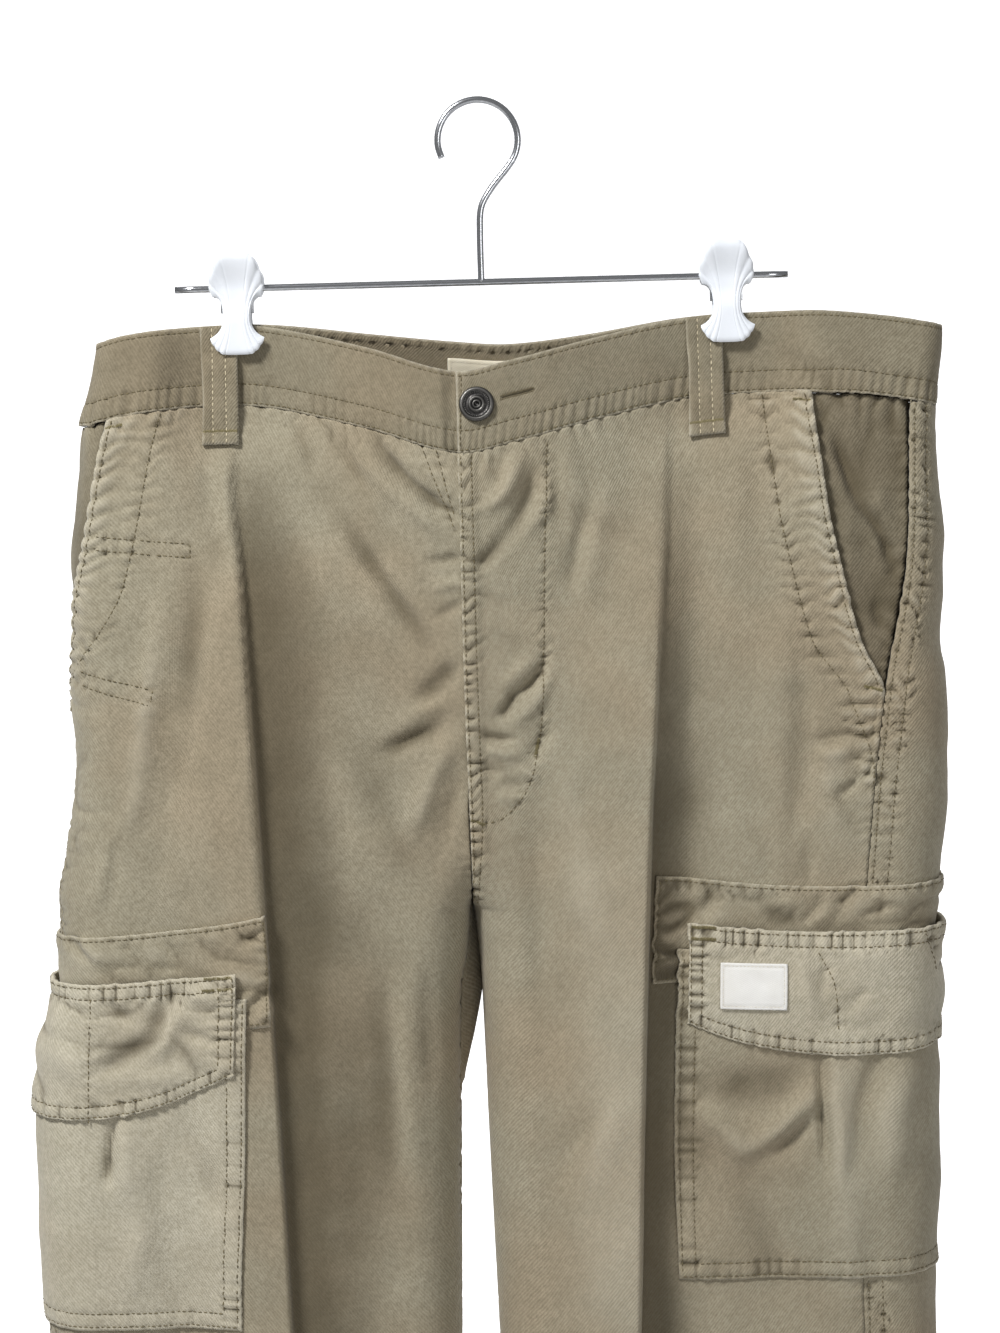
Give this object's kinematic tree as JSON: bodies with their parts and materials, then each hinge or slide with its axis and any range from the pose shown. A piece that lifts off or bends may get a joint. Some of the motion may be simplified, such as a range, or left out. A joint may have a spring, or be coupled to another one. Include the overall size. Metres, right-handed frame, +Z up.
{
  "type": "cargo shorts on a two-clip hanger",
  "caption": "Twill cargo shorts with flapped leg pockets, belt loops and a buttoned waistband, hanging open from two shell-shaped clips on a wire hanger.",
  "frame": {"origin": "inside top of the hanger's hook, where a rail carries it", "axes": "+Z up, +X to the right as one looks at the front, +Y from the front to the back"},
  "size_m": [0.4786, 0.0886, 0.6939],
  "materials": {
    "twill": "washed cotton twill, khaki, paler along its worn edges",
    "label_cloth": "cream woven tape, bare",
    "label_white": "white woven label, bare",
    "gunmetal": "antique gunmetal",
    "chrome": "bright plated wire",
    "clip_plastic": "white, moulded, half gloss"
  },
  "bodies": {
    "root": {"front_left": "twill", "front_right": "twill", "back_left": "twill", "back_right": "twill", "waistband_left": "twill", "waistband_right": "twill", "waist_label": "label_cloth", "fly_shield": "twill", "button": "gunmetal", "pocket_facing_left": "twill", "pocket_facing_right": "twill", "cargo_patch_left": "twill", "cargo_pocket_left": "twill", "cargo_flap_left": "twill", "cargo_patch_right": "twill", "cargo_pocket_right": "twill", "cargo_flap_right": "twill", "flap_label": "label_white", "belt_loop_front_left": "twill", "belt_loop_front_right": "twill", "belt_loop_back_left": "twill", "belt_loop_back_centre": "twill", "belt_loop_back_right": "twill", "hanger_wire": "chrome", "clip_front_left": "clip_plastic", "clip_back_left": "clip_plastic", "clip_spring_left": "chrome", "clip_front_right": "clip_plastic", "clip_back_right": "clip_plastic", "clip_spring_right": "chrome"}
  },
  "joints": []
}
